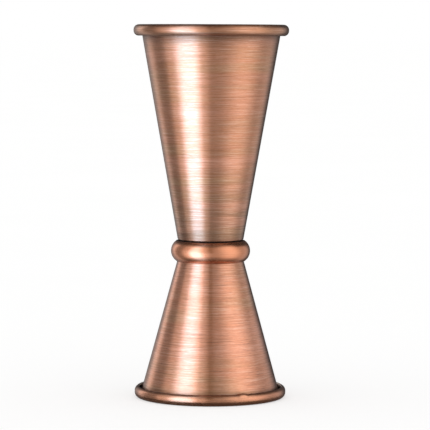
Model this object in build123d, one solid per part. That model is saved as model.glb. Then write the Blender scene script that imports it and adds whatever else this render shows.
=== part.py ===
"""Bar jigger: two conical sheet-metal measuring cups joined base to base inside a half-round collar.

Frame: millimetres, +Z up along the axis of revolution. The origin is the centre of the rim it stands
on, so the small cup opens downwards at z = 0 and the large cup opens upwards at the overall height.

Pieces, from the top:
  large_cup    one drawn sheet: flat base, straight cone, rim curled outwards and left open
  base_braze   thin disc of filler metal between the two bases
  neck_collar  half-round ring wedged on the small cup's taper, hiding the joint
  small_cup    like the large cup, upside down; its taper runs on through the collar to its own base
"""
import os
from math import asin, atan2, cos, degrees, hypot, radians, sin, tan

from build123d import *

# Overall sizes
OVERALL_HEIGHT = 113.0
WALL = 0.8
LARGE_RIM_RADIUS = 23.5
SMALL_RIM_RADIUS = 22.95

# The joint between the cups
LARGE_BASE_Z = 48.0
LARGE_BASE_RADIUS = 9.95
SMALL_BASE_RADIUS = 8.4
BRAZE_THICKNESS = 0.3
BRAZE_RADIUS = 9.2

# The collar: a round bead cut by its bore and by a flat top
COLLAR_RADIUS = 12.0
COLLAR_BEAD_RADIUS = 3.75
COLLAR_CENTRE_Z = 44.6

# The curled rims, by the outside of the sheet. The crown bend turns from the cone to the land, which is
# the narrow flat that the jigger stands on, and the wider curl turns on from there to the free edge.
CURL_HEIGHT = 3.45
RIM_LAND = 0.2
LARGE_CROWN_RADIUS = 1.3
SMALL_CROWN_RADIUS = 0.95
LARGE_CURL_RADIUS = 1.6
SMALL_CURL_RADIUS = 1.45
LARGE_CURL_CLOSING = 80.0
SMALL_CURL_CLOSING = 75.0

# The corner between base and cone, outside and inside the cup
OUTER_CORNER = 0.35
INNER_CORNER = 0.8

SMALL_BASE_Z = LARGE_BASE_Z - BRAZE_THICKNESS


def polar(centre, radius, angle):
    """The point at a distance and an angle in degrees from a centre, in the (r, z) plane."""
    turn = radians(angle)
    return (centre[0] + radius * cos(turn), centre[1] + radius * sin(turn))


def arc_between(centre, radius, start, end):
    """An arc about a centre from one angle to another, in degrees, as three points."""
    middle = (start + end) / 2
    return ThreePointArc(*[polar(centre, radius, angle) for angle in (start, middle, end)])


def cone_lean(base_radius, bend_centre, inside_radius):
    """Angle from the axis, in degrees, of the cone that starts at the base and touches a bend's inside."""
    run = bend_centre[0] - base_radius
    rise = bend_centre[1]
    return degrees(atan2(run, rise) - asin(inside_radius / hypot(run, rise)))


def cup(base_radius, height, rim_radius, crown_radius, curl_radius, curl_closing):
    """One cup, standing mouth up on z = 0.

    The sheet runs out along the base, up the cone, over the crown, down the leg of the curl and back
    under it. Each bend has one centre for both faces of the sheet.
    """
    crown_inside = crown_radius - WALL
    curl_inside = curl_radius - WALL
    crown = (rim_radius - curl_radius - RIM_LAND, height - crown_radius)
    over = (rim_radius - curl_radius, height - curl_radius)
    under = (over[0], height - CURL_HEIGHT + curl_radius)
    lean = cone_lean(base_radius, crown, crown_inside)
    tangent = 180 - lean
    inner_base_radius = base_radius + WALL * (sin(radians(lean)) - 1) / cos(radians(lean))
    outline = [
        # the outside of the cup, which becomes the inside of the curl
        Line((0, 0), (base_radius, 0)),
        Line((base_radius, 0), polar(crown, crown_inside, tangent)),
        arc_between(crown, crown_inside, tangent, 90),
        Line(polar(crown, crown_inside, 90), polar(over, curl_inside, 90)),
        arc_between(over, curl_inside, 90, 0),
        Line(polar(over, curl_inside, 0), polar(under, curl_inside, 0)),
        arc_between(under, curl_inside, 0, -curl_closing),
        # the free edge of the sheet
        Line(polar(under, curl_inside, -curl_closing), polar(under, curl_radius, -curl_closing)),
        # the outside of the curl, which becomes the inside of the cup
        arc_between(under, curl_radius, -curl_closing, 0),
        Line(polar(under, curl_radius, 0), polar(over, curl_radius, 0)),
        arc_between(over, curl_radius, 0, 90),
        Line(polar(over, curl_radius, 90), polar(crown, crown_radius, 90)),
        arc_between(crown, crown_radius, 90, tangent),
        Line(polar(crown, crown_radius, tangent), (inner_base_radius, WALL)),
        Line((inner_base_radius, WALL), (0, WALL)),
        Line((0, WALL), (0, 0)),
    ]
    section = make_face(outline)
    for corner, radius in (((base_radius, 0), OUTER_CORNER), ((inner_base_radius, WALL), INNER_CORNER)):
        nearest = section.vertices().sort_by_distance((*corner, 0))[0]
        section = fillet(nearest, radius)
    return revolve(Plane.XZ * section, axis=Axis.Z), lean


def large_cup():
    """The 45 ml cup, mouth up."""
    shape, _ = cup(
        LARGE_BASE_RADIUS,
        OVERALL_HEIGHT - LARGE_BASE_Z,
        LARGE_RIM_RADIUS,
        LARGE_CROWN_RADIUS,
        LARGE_CURL_RADIUS,
        LARGE_CURL_CLOSING,
    )
    return Pos(0, 0, LARGE_BASE_Z) * shape


def small_cup():
    """The 30 ml cup, mouth down on z = 0, and the lean of its cone."""
    shape, lean = cup(
        SMALL_BASE_RADIUS,
        SMALL_BASE_Z,
        SMALL_RIM_RADIUS,
        SMALL_CROWN_RADIUS,
        SMALL_CURL_RADIUS,
        SMALL_CURL_CLOSING,
    )
    return Pos(0, 0, SMALL_BASE_Z) * Rot(180, 0, 0) * shape, lean


def base_braze():
    """The disc of filler metal between the two bases."""
    return Pos(0, 0, SMALL_BASE_Z) * extrude(Circle(BRAZE_RADIUS), BRAZE_THICKNESS)


def neck_collar(lean):
    """The half-round ring, bored to the small cup's taper, with its top flat level with that cup's base."""
    bead_centre = (COLLAR_RADIUS - COLLAR_BEAD_RADIUS, COLLAR_CENTRE_Z)
    widening = tan(radians(lean))
    drop = COLLAR_BEAD_RADIUS + SMALL_BASE_Z - COLLAR_CENTRE_Z
    bead = Pos(*bead_centre) * Circle(COLLAR_BEAD_RADIUS)
    # what is left of the bead: outside the taper and below the flat top
    kept = make_face(
        Polyline(
            (SMALL_BASE_RADIUS, SMALL_BASE_Z),
            (SMALL_BASE_RADIUS + drop * widening, SMALL_BASE_Z - drop),
            (COLLAR_RADIUS, SMALL_BASE_Z - drop),
            (COLLAR_RADIUS, SMALL_BASE_Z),
            close=True,
        )
    )
    return revolve(Plane.XZ * (bead & kept), axis=Axis.Z)


def main():
    """Build every piece and write one file for each."""
    os.makedirs("parts", exist_ok=True)
    lower_cup, lean = small_cup()
    pieces = {
        "large_cup": large_cup(),
        "small_cup": lower_cup,
        "neck_collar": neck_collar(lean),
        "base_braze": base_braze(),
    }
    for name, shape in pieces.items():
        shape.label = name
        export_step(shape, f"parts/{name}.step")
        print(name, round(shape.volume, 1), "mm3")


main()
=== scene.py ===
"""Looks of the bar jigger: turned meshes for its cups, collar and braze, aged copper, studio light."""
from math import asin, atan2, cos, degrees, hypot, pi, radians, sin, tan

import bpy
import numpy as np
from mathutils import Euler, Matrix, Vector


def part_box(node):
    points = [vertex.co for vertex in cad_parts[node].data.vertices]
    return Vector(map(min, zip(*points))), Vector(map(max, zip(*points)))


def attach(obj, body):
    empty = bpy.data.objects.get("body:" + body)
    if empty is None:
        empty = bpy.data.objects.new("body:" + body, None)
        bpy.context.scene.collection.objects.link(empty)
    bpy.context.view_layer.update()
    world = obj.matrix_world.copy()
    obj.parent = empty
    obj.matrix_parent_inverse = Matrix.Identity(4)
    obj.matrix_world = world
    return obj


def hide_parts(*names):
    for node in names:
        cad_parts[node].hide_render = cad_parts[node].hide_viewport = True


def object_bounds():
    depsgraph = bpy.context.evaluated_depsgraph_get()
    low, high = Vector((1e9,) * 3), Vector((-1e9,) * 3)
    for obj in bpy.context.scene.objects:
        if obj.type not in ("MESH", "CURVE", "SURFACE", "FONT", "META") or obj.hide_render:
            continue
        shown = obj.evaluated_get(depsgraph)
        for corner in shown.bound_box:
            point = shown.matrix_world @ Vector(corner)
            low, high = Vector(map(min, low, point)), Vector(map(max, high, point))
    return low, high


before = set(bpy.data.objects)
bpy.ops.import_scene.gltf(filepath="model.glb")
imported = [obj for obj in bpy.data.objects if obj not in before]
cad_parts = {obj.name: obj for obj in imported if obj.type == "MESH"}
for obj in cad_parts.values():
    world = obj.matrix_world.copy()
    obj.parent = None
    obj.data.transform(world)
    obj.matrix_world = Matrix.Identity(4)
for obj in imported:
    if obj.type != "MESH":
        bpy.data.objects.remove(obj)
cad_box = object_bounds()

MM = 0.001

# The cups' and the collar's section, as the CAD has it
WALL = 0.8 * MM
LARGE_BASE_RADIUS = 9.95 * MM
SMALL_BASE_RADIUS = 8.4 * MM
CURL_HEIGHT = 3.45 * MM
RIM_LAND = 0.2 * MM
LARGE_CROWN_RADIUS = 1.3 * MM
SMALL_CROWN_RADIUS = 0.95 * MM
LARGE_CURL_RADIUS = 1.6 * MM
SMALL_CURL_RADIUS = 1.45 * MM
LARGE_CURL_CLOSING = 80.0
SMALL_CURL_CLOSING = 75.0
OUTER_CORNER = 0.35 * MM
INNER_CORNER = 0.8 * MM
COLLAR_BEAD_RADIUS = 3.75 * MM
COLLAR_CENTRE_Z = 44.6 * MM

# How finely the turned pieces are divided: round them, along arcs in degrees, and along straight runs
SEGMENTS = 500
ARC_STEP = 9.0
CONE_ROWS = 40
BASE_ROWS = 6
FLOOR_ROWS = 10
BORE_ROWS = 12
BEAD_POINTS = 49
EDGE_POINTS = 9

# Small faults of the rolled rims, the sheared edge and the braze. Waves have a size, orders, which are how
# many of each go round the piece, and seeded shares of the size within a range. A piece is drawn in by their
# size, so that it stays inside the CAD's box.
RIM_WAVE = 0.03 * MM
RIM_WAVE_ORDERS = (2, 3, 5, 7)
BRAZE_WAVE = 0.08 * MM
BRAZE_WAVE_ORDERS = (2, 5, 9, 14)
WAVE_SHARES = (0.4, 1)
EDGE_CROWN = 0.22 * WALL

# Dark lines at the ends of the cones and at the collar's lips, partly oxide and partly painted shade where
# one part meets or hangs over another: how dark, and how far each reaches as a share of its cone or bead
BASE_LINE_OXIDE_AND_SHADE, BASE_LINE_REACH = 0.35, 0.03
RIM_LINE_OXIDE_AND_SHADE, RIM_LINE_REACH = 0.7, 0.045
LIP_LINE_OXIDE_AND_SHADE, LIP_LINE_REACH = 0.9, 0.06
BEAD_WEAR = 0.6

# The camera: where the photographer's lens was
CAMERA_DISTANCE = 0.772
CAMERA_HEIGHT = 0.1095
CAMERA_PITCH = radians(4.009)
CAMERA_YAW = radians(0.082)
CAMERA_ROLL = radians(0.22)
CAMERA_LENS = 213.7
CAMERA_NEAR = 0.05

FRONT = -pi / 2

# What each point of a turned mesh carries for its material
CARRIED = ("wear", "oxide_and_shade", "cut")


# ---------------------------------------------------------------- outlines


def polar(centre, radius, angle):
    """The point at a distance and an angle in degrees from a centre, in the (r, z) plane."""
    turn = radians(angle)
    return (centre[0] + radius * cos(turn), centre[1] + radius * sin(turn))


def arc(centre, radius, start, end):
    """Points along an arc, both ends included."""
    steps = max(3, round(abs(end - start) / ARC_STEP))
    return [polar(centre, radius, angle) for angle in np.linspace(start, end, steps + 1)]


def straight(a, b, steps):
    """Points along a straight line, without its ends."""
    return [tuple(np.array(a) + (np.array(b) - np.array(a)) * i / steps) for i in range(1, steps)]


def corner_arc(corner, radius, lean, start, end):
    """The arc that rounds the corner between a level line and a cone that leans outwards from it."""
    slope = radians(lean)
    centre = (corner[0] + radius * tan(slope) - radius / cos(slope), corner[1] + radius)
    return arc(centre, radius, start, end)


def marked(points, wear, oxide_and_shade, cut=0):
    """Points with their wear and their darkening, partly oxide and partly painted shade, each given as a
    number or as a function of the place along them.
    """
    run = []
    for i, point in enumerate(points):
        share = i / max(1, len(points) - 1)
        worn = wear(share) if callable(wear) else wear
        dark = oxide_and_shade(share) if callable(oxide_and_shade) else oxide_and_shade
        run.append((point, worn, dark, cut))
    return run


def cup_outline(base_radius, height, rim_radius, crown_radius, curl_radius, closing, rim_wear):
    """A cup's section, mouth up on z = 0, from the axis under its base round to the axis on its floor.

    Returns a list of (point, wear, darkening, cut): how worn bright each point is and how darkened, partly by
    oxide and partly by painted shade in the curl, inside the cup and where the base meets the collar, both as
    shares of 1, and whether it is on the bare sheared edge of the sheet.
    """
    crown_inside = crown_radius - WALL
    curl_inside = curl_radius - WALL
    crown = (rim_radius - curl_radius - RIM_LAND, height - crown_radius)
    over = (rim_radius - curl_radius, height - curl_radius)
    under = (over[0], height - CURL_HEIGHT + curl_radius)
    run, rise = crown[0] - base_radius, crown[1]
    lean = degrees(atan2(run, rise) - asin(crown_inside / hypot(run, rise)))
    tangent = 180 - lean
    slope = radians(lean)
    floor_radius = base_radius + WALL * (sin(slope) - 1) / cos(slope)

    base_corner = corner_arc((base_radius, 0), OUTER_CORNER, lean, -90, -lean)
    base = [(0, 0)] + straight((0, 0), base_corner[0], BASE_ROWS)
    cone_top = polar(crown, crown_inside, tangent)
    mouth = polar(crown, crown_radius, tangent)
    floor_corner = corner_arc((floor_radius, WALL), INNER_CORNER, lean, -lean, -90)
    floor = straight(floor_corner[-1], (0, WALL), FLOOR_ROWS) + [(0, WALL)]

    # the outside of the cup, and the inside of its curl. The base's underside and corner against the collar
    # and the inside of the curl are painted with shade, and the cone has a dark line at each end, partly
    # oxide and partly painted shade
    outline = marked(base, 0, 0.9)
    outline += marked(base_corner, 0.25, lambda share: 0.7 - 0.4 * share)
    outline += marked(straight(base_corner[-1], cone_top, CONE_ROWS), 0, cone_oxide_and_shade)
    outline += marked(arc(crown, crown_inside, tangent, 90), 0, 1)
    outline += marked(arc(over, curl_inside, 90, 0), 0, 1)
    outline += marked(arc(under, curl_inside, 0, -closing), 0, lambda share: 1 - 0.5 * share)
    # the sheared edge, painted pale partly as bare metal and partly as a highlight
    outline += marked(free_edge(under, curl_inside, closing), 0.8, 0, cut=1)
    # the outside of the curl, painted darker near its free edge and towards the brim as shade, and the inside
    # of the cup, painted darker towards its floor as shade
    outline += marked(arc(under, curl_radius, -closing, 0), rim_wear, lambda share: 0.3 * (1 - share) ** 2)
    outline += marked(arc(over, curl_radius, 0, 90), rim_wear, lambda share: 0.3 * share)
    outline += marked(arc(crown, crown_radius, 90, tangent), 0.6, 0)
    outline += marked(straight(mouth, floor_corner[0], CONE_ROWS), 0.1, lambda share: 0.35 * share**3)
    outline += marked(floor_corner, 0.1, 0.4)
    outline += marked(floor, 0.15, lambda share: 0.3 * (1 - share) ** 2)
    return outline


def cone_oxide_and_shade(share):
    """Darkening on the outside of a cone: a line at each end, partly oxide and partly painted shade where it
    meets the collar and under the rim.
    """
    by_the_base = BASE_LINE_OXIDE_AND_SHADE * (1 - share / BASE_LINE_REACH)
    under_the_rim = RIM_LINE_OXIDE_AND_SHADE * (1 - (1 - share) / RIM_LINE_REACH)
    return max(by_the_base, under_the_rim, 0)


def free_edge(centre, inside, closing):
    """The sheared edge of the sheet, slightly crowned, from its inner face to its outer one."""
    along = Vector((sin(radians(-closing)), -cos(radians(-closing))))
    edge = []
    for share in np.linspace(0, 1, EDGE_POINTS)[1:-1]:
        point = Vector(polar(centre, inside + WALL * share, -closing))
        edge.append(tuple(point + along * EDGE_CROWN * sin(pi * share) ** 0.5))
    return edge


def collar_outline():
    """The collar's section, from its lower lip round the bead to the flat top and back down the bore."""
    low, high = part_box("neck_collar")
    centre = (high.x - COLLAR_BEAD_RADIUS, COLLAR_CENTRE_Z)
    start = degrees(asin((low.z - centre[1]) / COLLAR_BEAD_RADIUS))
    end = degrees(asin((high.z - centre[1]) / COLLAR_BEAD_RADIUS))
    bead = [polar(centre, COLLAR_BEAD_RADIUS, angle) for angle in np.linspace(start, end, BEAD_POINTS)]
    bore_top = (SMALL_BASE_RADIUS, high.z)
    hidden = straight(bead[-1], bore_top, BASE_ROWS) + [bore_top] + straight(bore_top, bead[0], BORE_ROWS)
    # the bead is worn at its middle, and dark in a narrow line at each lip, partly oxide and partly painted
    # shade where the cups meet it; the hidden bore is painted dark
    return marked(bead, bead_wear, bead_oxide_and_shade) + marked(hidden, 0, 1)


def bead_wear(share):
    """Wear across the collar's bead, from one lip to the other."""
    return BEAD_WEAR * sin(pi * share) ** 2


def bead_oxide_and_shade(share):
    """Darkening across the collar's bead: a narrow line at each lip, partly oxide and partly painted shade.
    """
    return LIP_LINE_OXIDE_AND_SHADE * max(1 - min(share, 1 - share) / LIP_LINE_REACH, 0)


def braze_outline():
    """The braze disc's section, hollowed at its edge where the filler drew back between the bases."""
    low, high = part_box("base_braze")
    reach, middle = high.x, (low.z + high.z) / 2
    half = (high.z - low.z) / 2
    edge = [
        (reach - half * cos(radians(angle)), middle + half * sin(radians(angle)))
        for angle in np.linspace(-90, 90, EDGE_POINTS)
    ]
    points = [(0, low.z)] + straight((0, low.z), edge[0], BASE_ROWS) + edge
    points += straight(edge[-1], (0, high.z), BASE_ROWS) + [(0, high.z)]
    # dark all over: partly oxide, partly painted shade in the crevice between the bases
    return marked(points, 0, 1)


# ---------------------------------------------------------------- meshes


def lathe(name, outline, closed=False, shape=None):
    """Turn an outline about Z into a smooth mesh that carries its wear, its darkening by oxide and painted
    shade, and its cut.

    An open outline starts and ends on the axis. shape moves the points of the turned grid, if given.
    """
    section = np.array([point for point, *_ in outline], float)
    turn = np.linspace(0, 2 * pi, SEGMENTS, endpoint=False)
    radius = np.repeat(section[:, :1], SEGMENTS, axis=1)
    height = np.repeat(section[:, 1:], SEGMENTS, axis=1)
    if shape:
        radius, height = shape(radius, height, turn)
    grid = np.stack((radius * np.cos(turn), radius * np.sin(turn), height), axis=-1)
    rings = range(len(section)) if closed else range(1, len(section) - 1)
    index = {ring: place * SEGMENTS for place, ring in enumerate(rings)}
    vertices = [tuple(v) for ring in rings for v in grid[ring]]
    values = [outline[ring][1:] for ring in rings for _ in range(SEGMENTS)]
    around = [(i, (i + 1) % SEGMENTS) for i in range(SEGMENTS)]
    faces = []
    order = list(rings) + ([rings[0]] if closed else [])
    for a, b in zip(order, order[1:]):
        faces += [(index[a] + i, index[a] + j, index[b] + j, index[b] + i) for i, j in around]
    if not closed:
        # a fan of triangles closes the mesh at each end of the axis
        for end, ring, flip in ((0, rings[0], False), (-1, rings[-1], True)):
            pole = len(vertices)
            vertices.append((0, 0, section[end][1]))
            values.append(outline[end][1:])
            fan = [(pole, index[ring] + j, index[ring] + i) for i, j in around]
            faces += [face[::-1] for face in fan] if flip else fan
    mesh = bpy.data.meshes.new(name)
    mesh.from_pydata(vertices, [], faces)
    for column, label in enumerate(CARRIED):
        layer = mesh.attributes.new(label, "FLOAT", "POINT")
        layer.data.foreach_set("value", np.array(values, np.float32)[:, column])
    mesh.shade_smooth()
    outwards(mesh)
    piece = bpy.data.objects.new(name, mesh)
    bpy.context.scene.collection.objects.link(piece)
    return piece


def outwards(mesh):
    """Turn the faces so that the closed mesh's volume is positive."""
    mesh.calc_loop_triangles()
    corner = np.empty(len(mesh.vertices) * 3)
    mesh.vertices.foreach_get("co", corner)
    corner = corner.reshape(-1, 3)
    tri = np.array([t.vertices for t in mesh.loop_triangles])
    a, b, c = corner[tri[:, 0]], corner[tri[:, 1]], corner[tri[:, 2]]
    if np.einsum("ij,ij->i", a, np.cross(b, c)).sum() < 0:
        mesh.flip_normals()


def waves(turn, seed, orders, size):
    """A smooth closed wave round the rim: a few whole harmonics with seeded phases."""
    rng = np.random.default_rng(seed)
    wave = sum(np.cos(k * turn + rng.uniform(0, 2 * pi)) * rng.uniform(*WAVE_SHARES) / k**0.5 for k in orders)
    return size * wave / np.abs(wave).max()


def swing(turn, angle):
    """The angle from a direction, from -pi to pi."""
    return (turn - angle + pi) % (2 * pi) - pi


def place_cup(base_z, mouth_z, dents, nick, seed):
    """How a cup's turned grid is shaped: stood in its place, with the small faults of a rolled rim.

    dents is a list of (angle, height, size, depth). nick is (angle, length, lift) of a burr on the free edge
    of the curl, or None. seed starts the rim's waves.
    """
    side = 1 if mouth_z > base_z else -1
    reach = abs(mouth_z - base_z)

    def shape(radius, height, turn):
        # the waves rise over half a curl's height, on the rim only
        risen = np.clip((height - reach + 1.25 * CURL_HEIGHT) / (0.5 * CURL_HEIGHT), 0, 1)
        curl = np.where(radius > radius.max() - 2 * CURL_HEIGHT, risen, 0)
        radius = radius - curl * (RIM_WAVE + waves(turn, seed, RIM_WAVE_ORDERS, RIM_WAVE))
        for angle, up, size, depth in dents:
            away = np.hypot(radius.max() * swing(turn, angle), height - up)
            radius = radius - depth * np.exp(-((away / size) ** 2)) * (radius > radius.max() - CURL_HEIGHT)
        if nick:
            angle, length, lift = nick
            near = np.exp(-((radius.max() * swing(turn, angle) / length) ** 4))
            # the lip is the lowest part of the curl, near its free edge
            low = (height < reach - 0.6 * CURL_HEIGHT) & (height > reach - 1.1 * CURL_HEIGHT)
            lip = low & (radius > radius.max() - 0.8 * CURL_HEIGHT)
            height = height - np.where(lip, near * lift, 0)
        return radius, base_z + side * height

    return shape


def ragged(radius, height, turn):
    """The braze's edge, run a little in and out between the bases."""
    # only the outermost quarter runs
    edge = np.clip(radius / radius.max() * 4 - 3, 0, 1)
    return radius - edge * (BRAZE_WAVE + waves(turn, BRAZE_SEED, BRAZE_WAVE_ORDERS, BRAZE_WAVE)), height


# ---------------------------------------------------------------- node graphs


def add(tree, kind, inputs=None, **settings):
    """Add a node, set its properties, then set each input or link it to another node's output."""
    node = tree.nodes.new(kind)
    for name, value in settings.items():
        setattr(node, name, value)
    for socket, value in (inputs or {}).items():
        if isinstance(value, bpy.types.NodeSocket):
            tree.links.new(value, node.inputs[socket])
        else:
            node.inputs[socket].default_value = value
    return node


def maths(tree, operation, *values, clamp=False):
    """One math node's result."""
    inputs = dict(enumerate(values))
    return add(tree, "ShaderNodeMath", inputs, operation=operation, use_clamp=clamp).outputs[0]


def times(tree, *values):
    """The product of two values."""
    return maths(tree, "MULTIPLY", *values)


def plus(tree, *values):
    """The sum of two values."""
    return maths(tree, "ADD", *values)


def mixed(tree, first, second, shares):
    """Two noises added in the shares given."""
    return plus(tree, times(tree, first, shares[0]), times(tree, second, shares[1]))


def remap(tree, value, low, high, to_low=0.0, to_high=1.0, smooth=False):
    """A value moved from one range to another, held at the ends."""
    node = add(
        tree,
        "ShaderNodeMapRange",
        {"Value": value, "From Min": low, "From Max": high, "To Min": to_low, "To Max": to_high},
        interpolation_type="SMOOTHSTEP" if smooth else "LINEAR",
    )
    return node.outputs["Result"]


def blend(tree, share, below, above):
    """Two colours mixed by a share."""
    node = add(tree, "ShaderNodeMix", {"Factor": share}, data_type="RGBA")
    for socket, value in ((node.inputs[6], below), (node.inputs[7], above)):
        if isinstance(value, bpy.types.NodeSocket):
            tree.links.new(value, socket)
        else:
            socket.default_value = (*value, 1)
    return node.outputs[2]


def vector(tree, operation, inputs):
    """One vector math node's result."""
    return add(tree, "ShaderNodeVectorMath", inputs, operation=operation).outputs[0]


def noise(tree, place, scale, detail, roughness=0.5):
    """A noise texture's value."""
    inputs = {"Vector": place, "Scale": scale, "Detail": detail, "Roughness": roughness}
    return add(tree, "ShaderNodeTexNoise", inputs).outputs["Fac"]


def carried(tree, name):
    """A value that the mesh carries at its points."""
    return add(tree, "ShaderNodeAttribute", attribute_name=name).outputs["Fac"]


def round_noise(tree, millimetres, around, along, detail):
    """A noise in marks that run round the piece, so long round it and so wide along its section, in mm."""
    x, y, z = add(tree, "ShaderNodeSeparateXYZ", {0: millimetres}).outputs
    radius = maths(tree, "SQRT", plus(tree, times(tree, x, x), times(tree, y, y)))
    inputs = {
        "X": maths(tree, "DIVIDE", x, around),
        "Y": maths(tree, "DIVIDE", y, around),
        "Z": maths(tree, "DIVIDE", plus(tree, z, radius), along),
    }
    place = add(tree, "ShaderNodeCombineXYZ", inputs).outputs[0]
    return noise(tree, place, 1.0, detail, BRUSH_ROUGHNESS)


# ---------------------------------------------------------------- materials

# Copper as it is plated, worn, cut and aged. The cut edge's pale colour is partly bare metal and partly a
# painted highlight; the grey and dark colours are partly painted shade
FRESH_COPPER = (0.67, 0.283, 0.15)
PINKER_COPPER = (0.73, 0.308, 0.177)
POLISHED_COPPER = (0.615, 0.23, 0.11)
BRAZE_METAL = (0.42, 0.28, 0.14)
WORN_COPPER = (0.64, 0.275, 0.155)
BARE_EDGE_AND_HIGHLIGHT = (0.80, 0.66, 0.58)
OLIVE_PATINA = (0.46, 0.27, 0.14)
PINK_COPPER = (0.70, 0.32, 0.215)
GREY_PATINA_AND_SHADE = (0.255, 0.138, 0.078)
DARK_OXIDE_AND_SHADE = (0.045, 0.022, 0.016)
DARK_SCRATCH = (0.22, 0.11, 0.075)
PALE_SCRATCH = (0.92, 0.66, 0.54)
# How bright aged copper is as a share of fresh copper
AGED_SHARE = 0.65

# The marks that run round a piece: length round it and width along its section in mm, and noise detail
BROAD_STREAK = (14.0, 0.9, 3.0)
FINE_STREAK = (9.0, 0.15, 2.0)
TONE_BAND = (45.0, 5.0, 3.0)
HAIR_SCRATCH = (1.3, 0.11, 2.0)
BRUSH_ROUGHNESS = 0.6
# The marks that run no particular way: noise scale per mm, detail and roughness
CLOUD = (0.09, 4.0, 0.55)
SPECK = (1.6, 3.0, 0.7)

# How much of the first noise and of the second there is in each mix of two
STREAK_MIX = (0.3, 0.7)
SCRATCH_MIX = (0.75, 0.25)
RELIEF_MIX = (0.6, 0.4)

# How a noise drives what it darkens or brightens: from low, from high, and to low and to high if not 0 and 1
STREAK_RANGE = (0.36, 0.64)
AGEING_RANGE = (0.35, 0.65)
GLOSS_RANGE = (0.3, 0.7)
PATINA_AND_SHADE_RANGE = (0.3, 0.6, 0.55, 1.0)
WEAR_RANGE = (0.3, 0.62, 0.25, 0.9)
OXIDE_AND_SHADE_RANGE = (0.25, 0.6, 0.75, 1.0)
PIT_RANGE = (0.72, 0.8, 0.0, 0.55)

# Tints that grow from a noise's middle: the noise value at which each is strongest, its strength, its colour
NOISE_MIDDLE = 0.5
TONE_TINTS = ((0.68, 1.1, OLIVE_PATINA), (0.32, 1.1, PINK_COPPER))
SCRATCH_TINTS = ((0.28, 1.7, DARK_SCRATCH), (0.72, 0.95, PALE_SCRATCH))

# How strongly ageing shows in clouds and all over, and how pale the cut edge is, partly bare metal and partly
# a painted highlight
CLOUD_AGEING = 0.3
EVEN_AGEING = 0.5
CUT_BARENESS_AND_HIGHLIGHT = 0.8

# What is added to the roughness by streaks, clouds and the darkened places, and what wear takes away
STREAK_ROUGHNESS = 0.10
CLOUD_ROUGHNESS = 0.05
OXIDE_AND_SHADE_ROUGHNESS = 0.25
WEAR_POLISH = 0.05

# A quarter turn lays the brushing round the piece
BRUSH_TURN = 0.25
COAT_WEIGHT = 0.35
COAT_ROUGHNESS = 0.25
BUMP_STRENGTH = 0.5
BUMP_HEIGHT = 0.03 * MM

# The studio board and the card: noise scale and detail, and the two colours that each lies between
BOARD_MOTTLE = (6.0, 3.0)
BOARD_COLOURS = ((0.44, 0.44, 0.437), (0.455, 0.455, 0.455))
CARD_MOTTLE = (60.0, 2.0)
CARD_COLOURS = ((0.08, 0.07, 0.065), (0.10, 0.09, 0.085))
MATT = 0.9


def new_material(name):
    """An empty material's tree and shader, and the point's place on the object in metres."""
    material = bpy.data.materials.new(name)
    material.use_nodes = True
    tree = material.node_tree
    here = add(tree, "ShaderNodeTexCoord").outputs["Object"]
    return material, tree, tree.nodes["Principled BSDF"], here


def copper(name, ageing, patina_and_shade, brushing, gloss, anisotropy, fresh=FRESH_COPPER):
    """Aged copper plate, brushed round the piece.

    ageing and brushing are shares. The list of grey bands, some patina and some painted shade, gives height
    in mm, reach in mm, strength.
    gloss is the least roughness.
    """
    material, tree, shader, here = new_material(name)
    place = vector(tree, "SCALE", {0: here, "Scale": 1 / MM})
    broad, line, tone, hair = [
        round_noise(tree, place, *mark) for mark in (BROAD_STREAK, FINE_STREAK, TONE_BAND, HAIR_SCRATCH)
    ]
    cloud = noise(tree, place, *CLOUD)
    wear, oxide_and_shade, cut = [carried(tree, label) for label in CARRIED]
    streak = remap(tree, mixed(tree, broad, line, STREAK_MIX), *STREAK_RANGE)

    colour = aged_colour(tree, fresh, streak, cloud, ageing, brushing)
    # grey bands: patina, and painted shade under the large cup's rim and under the collar
    colour = patina_and_shade_bands(tree, colour, place, broad, patina_and_shade)
    colour = tinted(tree, colour, tone, TONE_TINTS, brushing)
    colour = tinted(tree, colour, mixed(tree, line, hair, SCRATCH_MIX), SCRATCH_TINTS, brushing)
    rubbed = times(tree, wear, remap(tree, line, *WEAR_RANGE))
    colour = blend(tree, rubbed, colour, WORN_COPPER)
    # the sheared edge painted paler: partly bare metal, partly a painted highlight along it
    colour = blend(tree, times(tree, cut, CUT_BARENESS_AND_HIGHLIGHT), colour, BARE_EDGE_AND_HIGHLIGHT)
    # darkened where the mesh says so: partly oxide, partly painted shade in recesses, under the rim and
    # between parts
    colour = oxidised_and_shaded(tree, colour, place, oxide_and_shade)
    tree.links.new(colour, shader.inputs["Base Color"])

    rough = plus(tree, gloss, times(tree, streak, STREAK_ROUGHNESS * brushing))
    rough = plus(tree, rough, times(tree, remap(tree, cloud, *GLOSS_RANGE), CLOUD_ROUGHNESS))
    rough = plus(tree, rough, times(tree, oxide_and_shade, OXIDE_AND_SHADE_ROUGHNESS))
    rough = maths(tree, "SUBTRACT", rough, times(tree, wear, WEAR_POLISH))
    tree.links.new(rough, shader.inputs["Roughness"])

    relief = mixed(tree, line, hair, RELIEF_MIX)
    inputs = {"Height": relief, "Strength": BUMP_STRENGTH * brushing, "Distance": BUMP_HEIGHT}
    tree.links.new(add(tree, "ShaderNodeBump", inputs).outputs[0], shader.inputs["Normal"])

    shader.inputs["Metallic"].default_value = 1.0
    shader.inputs["Anisotropic"].default_value = anisotropy
    shader.inputs["Anisotropic Rotation"].default_value = BRUSH_TURN
    shader.inputs["Coat Weight"].default_value = COAT_WEIGHT
    shader.inputs["Coat Roughness"].default_value = COAT_ROUGHNESS
    around = add(tree, "ShaderNodeTangent", direction_type="RADIAL", axis="Z")
    tree.links.new(around.outputs[0], shader.inputs["Tangent"])
    return material


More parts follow.
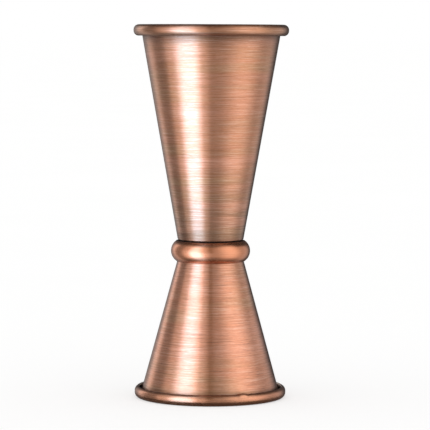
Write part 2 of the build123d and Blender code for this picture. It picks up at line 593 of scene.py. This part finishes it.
def aged_colour(tree, fresh, streak, cloud, ageing, brushing):
    """Fresh copper darkened in streaks, in clouds and a little all over."""
    aged = times(tree, streak, brushing)
    aged = plus(tree, aged, times(tree, remap(tree, cloud, *AGEING_RANGE), CLOUD_AGEING * ageing))
    aged = maths(tree, "ADD", aged, EVEN_AGEING * ageing, clamp=True)
    return blend(tree, aged, fresh, tuple(AGED_SHARE * part for part in fresh))


def patina_and_shade_bands(tree, colour, place, broad, bands):
    """Grey bands, some patina and some painted shade, that fade with height away from each band's level,
    broken up by the broad streaks.
    """
    height = add(tree, "ShaderNodeSeparateXYZ", {0: place}).outputs["Z"]
    broken = remap(tree, broad, *PATINA_AND_SHADE_RANGE)
    for level, reach, strength in bands:
        away = maths(tree, "ABSOLUTE", maths(tree, "SUBTRACT", height, level))
        band = remap(tree, maths(tree, "DIVIDE", away, reach), 1.0, 0.0, smooth=True)
        colour = blend(tree, times(tree, times(tree, band, strength), broken), colour, GREY_PATINA_AND_SHADE)
    return colour


def tinted(tree, colour, mark, tints, brushing):
    """One tint where a noise is high and another where it is low: olive and pink, or pale and dark lines."""
    for peak, strength, tint in tints:
        share = remap(tree, mark, NOISE_MIDDLE, peak, 0.0, strength * brushing)
        colour = blend(tree, share, colour, tint)
    return colour


def oxidised_and_shaded(tree, colour, place, oxide_and_shade):
    """Dark where the mesh says so, partly oxide and partly painted shade, and dark oxide in scattered pits.
    """
    speck = noise(tree, place, *SPECK)
    oxide_and_shade_share = times(tree, oxide_and_shade, remap(tree, speck, *OXIDE_AND_SHADE_RANGE))
    colour = blend(tree, oxide_and_shade_share, colour, DARK_OXIDE_AND_SHADE)
    return blend(tree, remap(tree, speck, *PIT_RANGE), colour, DARK_OXIDE_AND_SHADE)


def floor_material():
    """Plain pale studio board, very slightly uneven, which glows a little."""
    material, tree, shader, here = new_material("studio_board")
    colour = blend(tree, noise(tree, here, *BOARD_MOTTLE), *BOARD_COLOURS)
    tree.links.new(colour, shader.inputs["Base Color"])
    shader.inputs["Roughness"].default_value = MATT
    shader.inputs["Specular IOR Level"].default_value = 0.0
    shader.inputs["Emission Color"].default_value = (1.0, 1.0, 1.0, 1.0)
    shader.inputs["Emission Strength"].default_value = FLOOR_GLOW
    return material


def card_material():
    """Dark matt card."""
    material, tree, shader, here = new_material("dark_card")
    colour = blend(tree, noise(tree, here, *CARD_MOTTLE), *CARD_COLOURS)
    tree.links.new(colour, shader.inputs["Base Color"])
    shader.inputs["Roughness"].default_value = MATT
    return material


# ---------------------------------------------------------------- the jigger

# Marks on the rims. Dents in the large cup's: degrees right of the front, depth below the rim, size, depth
RIM_DENTS = (
    (0.6, 0.9 * MM, 0.30 * MM, 0.12 * MM),
    (34.5, 1.4 * MM, 0.28 * MM, 0.10 * MM),
)
# The burr on the small cup's free edge: degrees right of the front, length, lift
BURR = (26, 1.5 * MM, 0.3 * MM)
LARGE_RIM_WEAR = 0.2
SMALL_RIM_WEAR = 0.8
LARGE_RIM_SEED = 3
SMALL_RIM_SEED = 8
BRAZE_SEED = 5

# Grey bands on the large cup, under the rim partly patina and partly painted shade, towards the base patina:
# how far each one's middle is below the rim or above the base and its reach, in mm, and its strength
RIM_PATINA_AND_SHADE = (4.0, 5.0, 0.55)
BASE_PATINA = (1.0, 32.0, 0.85)
# The small cup's, by height in mm: just below the collar, painted shade from the collar, and just above its
# own rim
SMALL_CUP_PATINA_AND_SHADE = [(41.4, 8.0, 0.3), (3.0, 3.0, 0.2)]


def dress(piece, node, material):
    """Give a piece its material, and let it stand for its CAD node."""
    piece.data.materials.append(material)
    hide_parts(node)
    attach(piece, "root")


def make_large_cup():
    """The upper cup: browner, with grey patina and painted shade under its rim, and grey patina towards its
    base.
    """
    low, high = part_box("large_cup")
    reach = high.z - low.z
    outline = cup_outline(
        LARGE_BASE_RADIUS,
        reach,
        high.x,
        LARGE_CROWN_RADIUS,
        LARGE_CURL_RADIUS,
        LARGE_CURL_CLOSING,
        LARGE_RIM_WEAR,
    )
    dents = [(FRONT + radians(right), reach - down, size, depth) for right, down, size, depth in RIM_DENTS]
    piece = lathe("large_cup_turned", outline, shape=place_cup(low.z, high.z, dents, None, LARGE_RIM_SEED))
    # the band under the rim is partly patina and partly painted shade
    patina_and_shade = [
        (high.z / MM - RIM_PATINA_AND_SHADE[0], *RIM_PATINA_AND_SHADE[1:]),
        (low.z / MM + BASE_PATINA[0], *BASE_PATINA[1:]),
    ]
    material = copper(
        "brushed_copper_large",
        ageing=0.55,
        patina_and_shade=patina_and_shade,
        brushing=0.5,
        gloss=0.27,
        anisotropy=0.8,
    )
    dress(piece, "large_cup", material)


def make_small_cup():
    """The lower cup: pinker and fresher, with a burr on the free edge of its curl."""
    low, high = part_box("small_cup")
    reach = high.z - low.z
    outline = cup_outline(
        SMALL_BASE_RADIUS,
        reach,
        high.x,
        SMALL_CROWN_RADIUS,
        SMALL_CURL_RADIUS,
        SMALL_CURL_CLOSING,
        SMALL_RIM_WEAR,
    )
    right, length, lift = BURR
    nick = (FRONT + radians(right), length, lift)
    piece = lathe("small_cup_turned", outline, shape=place_cup(high.z, low.z, [], nick, SMALL_RIM_SEED))
    material = copper(
        "brushed_copper_small",
        ageing=0.35,
        patina_and_shade=SMALL_CUP_PATINA_AND_SHADE,
        brushing=0.5,
        gloss=0.26,
        anisotropy=0.8,
        fresh=PINKER_COPPER,
    )
    dress(piece, "small_cup", material)


def make_collar():
    """The neck collar: polished smoother and redder than the cups."""
    piece = lathe("neck_collar_turned", collar_outline(), closed=True)
    material = copper(
        "polished_copper",
        ageing=0.25,
        patina_and_shade=[],
        brushing=0.15,
        gloss=0.24,
        anisotropy=0.0,
        fresh=POLISHED_COPPER,
    )
    dress(piece, "neck_collar", material)


def make_braze():
    """The braze disc, dark at its edge: partly oxide, partly painted shade in the crevice between the bases.
    """
    piece = lathe("base_braze_run", braze_outline(), shape=ragged)
    material = copper(
        "oxidised_shaded_braze",
        ageing=0.9,
        patina_and_shade=[],
        brushing=0.2,
        gloss=0.45,
        anisotropy=0.0,
        fresh=BRAZE_METAL,
    )
    dress(piece, "base_braze", material)


# ---------------------------------------------------------------- studio

# Panels of light round the jigger, by azimuth from the camera in degrees, rightwards positive: the first and
# last azimuth, softness of the edges, strength below and above the horizon, and coolness, 0 to 1.
# The large cup leans outwards and mirrors what is below the horizon, and the small cup what is above it.
# A negative strength takes room light away, as a black flag does.
PANELS = (
    (-141.0, -122.0, 8.0, 0.46, 1.05, 0.0),
    (-88.0, -4.0, 5.0, 0.88, 0.60, 0.0),
    (-67.0, -21.0, 7.0, 1.4, 0.0, 0.0),
    (-63.0, -26.0, 8.0, 2.0, 0.0, 1.0),
    (-63.5, -22.0, 7.0, 0.0, 1.25, 0.0),
    (-59.0, -31.0, 8.0, 0.0, 1.10, 1.0),
    (-6.0, 9.0, 4.0, 0.0, -0.14, 0.5),
    (0.0, 135.0, 8.0, 0.31, 0.0, 0.0),
    (8.0, 135.0, 6.0, 0.0, 0.30, 0.0),
    (38.0, 90.0, 22.0, 0.84, 1.05, 0.0),
    (112.0, 140.0, 8.0, 0.07, 0.11, 0.0),
)
NEUTRAL_WHITE = np.array((1.0, 1.0, 1.0))
COOL_WHITE = np.array((0.3, 1.15, 2.3))
ROOM_LIGHT = 0.36
# The panels change from their lower strength to their upper one over these directions' z
HORIZON_SPAN = (-0.3, 0.3)
# How many degrees further left the panels stand at their tops
PANEL_LEAN = 2.5
# The dark drape behind the jigger, from the first azimuth round the back to the second, each with its edge's
# softness. It widens by the spread, in degrees, as a direction's z goes from the first value to the second.
DRAPE_RIGHT, DRAPE_RIGHT_SOFTNESS = 147.0, 7.0
DRAPE_LEFT, DRAPE_LEFT_SOFTNESS = -164.0, 5.0
DRAPE_SPREAD = 50.0
DRAPE_WIDENS = (0.25, 0.6)
DRAPE_LIGHT = 0.08
# The share of light left overhead and underfoot, and the z over which it fades
CEILING_LIGHT = 0.15
CEILING_FADE = (0.65, 0.95)
GROUND_LIGHT = 0.3
GROUND_FADE = (-0.85, -0.5)
FLOOR_LIGHT = 1.0
FLOOR_GLOW = 0.55
FLOOR_RADIUS = 60.0
CARD_RADIUS = 0.0285
BOARD_SIDES = 96
BACKGROUND_LIGHT = 1.0


def grey(level):
    """A neutral colour."""
    return (level, level, level)


def soft_edge(tree, angle, edge, softness):
    """0 before an edge and 1 past it, eased over the softness, all in degrees."""
    return remap(tree, angle, edge - softness, edge + softness, smooth=True)


def panel_light(tree, azimuth, z):
    """The room's own light with every panel's added to it."""
    height = remap(tree, z, *HORIZON_SPAN, smooth=True)
    leaning = plus(tree, azimuth, times(tree, height, PANEL_LEAN))
    total = add(tree, "ShaderNodeCombineColor", dict(enumerate(grey(ROOM_LIGHT)))).outputs[0]
    for first, last, softness, low, high, coolness in PANELS:
        lit = maths(tree, "SUBTRACT", *[soft_edge(tree, leaning, edge, softness) for edge in (first, last)])
        lit = times(tree, lit, remap(tree, height, 0.0, 1.0, low, high))
        tint = NEUTRAL_WHITE * (1 - coolness) + COOL_WHITE * coolness
        panel = vector(tree, "SCALE", {0: tuple(tint), "Scale": lit})
        total = vector(tree, "ADD", {0: total, 1: panel})
    return total


def behind_drape(tree, azimuth, z):
    """1 where a direction meets the dark drape, and 0 elsewhere."""
    spread = remap(tree, z, *DRAPE_WIDENS, 0.0, DRAPE_SPREAD)
    left = soft_edge(tree, maths(tree, "SUBTRACT", azimuth, spread), DRAPE_LEFT, DRAPE_LEFT_SOFTNESS)
    right = soft_edge(tree, plus(tree, azimuth, spread), DRAPE_RIGHT, DRAPE_RIGHT_SOFTNESS)
    return maths(tree, "MAXIMUM", maths(tree, "SUBTRACT", 1.0, left), right)


def light_the_room():
    """Soft upright panels for the metal to mirror, an even dome for the floor, and a white background."""
    world = bpy.data.worlds.new("studio")
    bpy.context.scene.world = world
    world.use_nodes = True
    tree = world.node_tree
    direction = add(tree, "ShaderNodeTexCoord").outputs["Generated"]
    x, y, z = add(tree, "ShaderNodeSeparateXYZ", {0: direction}).outputs
    azimuth = maths(tree, "DEGREES", maths(tree, "ARCTAN2", x, times(tree, y, -1.0)))
    total = panel_light(tree, azimuth, z)
    total = blend(tree, behind_drape(tree, azimuth, z), total, grey(DRAPE_LIGHT))
    over = remap(tree, z, *CEILING_FADE, 1.0, CEILING_LIGHT, smooth=True)
    below = remap(tree, z, *GROUND_FADE, GROUND_LIGHT, 1.0, smooth=True)
    mirrored = vector(tree, "SCALE", {0: total, "Scale": times(tree, over, below)})
    path = add(tree, "ShaderNodeLightPath")
    colour = blend(tree, path.outputs["Is Diffuse Ray"], mirrored, grey(FLOOR_LIGHT))
    colour = blend(tree, path.outputs["Is Camera Ray"], colour, grey(BACKGROUND_LIGHT))
    tree.links.new(colour, tree.nodes["Background"].inputs["Color"])
    # sampled evenly, because each kind of ray sees another colour
    world.cycles.sampling_method = "NONE"


def board(name, radius, material):
    """A round board in the plane that the jigger stands on."""
    turn = np.linspace(0, 2 * pi, BOARD_SIDES, endpoint=False)
    mesh = bpy.data.meshes.new(name)
    mesh.from_pydata([(radius * cos(a), radius * sin(a), 0) for a in turn], [], [range(len(turn))])
    mesh.materials.append(material)
    flat = bpy.data.objects.new(name, mesh)
    flat.location.z = cad_box[0][2]
    bpy.context.scene.collection.objects.link(flat)
    return flat


def lay_floor():
    """A pale floor whose edge is lost, and a small dark card that only the metal's reflections see."""
    floor = board("floor", FLOOR_RADIUS, floor_material())
    floor.visible_glossy = False
    card = board("dark_card", CARD_RADIUS, card_material())
    card.visible_camera = False
    card.visible_diffuse = False
    card.visible_shadow = False


def set_camera():
    """A long lens, level with the large cup's rim and tipped a little down."""
    data = bpy.data.cameras.new("camera")
    data.lens = CAMERA_LENS
    data.clip_start = CAMERA_NEAR
    camera = bpy.data.objects.new("camera", data)
    camera.location = (0, -CAMERA_DISTANCE, CAMERA_HEIGHT)
    camera.rotation_euler = Euler((pi / 2 - CAMERA_PITCH, -CAMERA_ROLL, -CAMERA_YAW))
    bpy.context.scene.collection.objects.link(camera)
    bpy.context.scene.camera = camera


make_large_cup()
make_small_cup()
make_collar()
make_braze()
light_the_room()
lay_floor()
set_camera()
bpy.context.scene.view_settings.view_transform = "Standard"
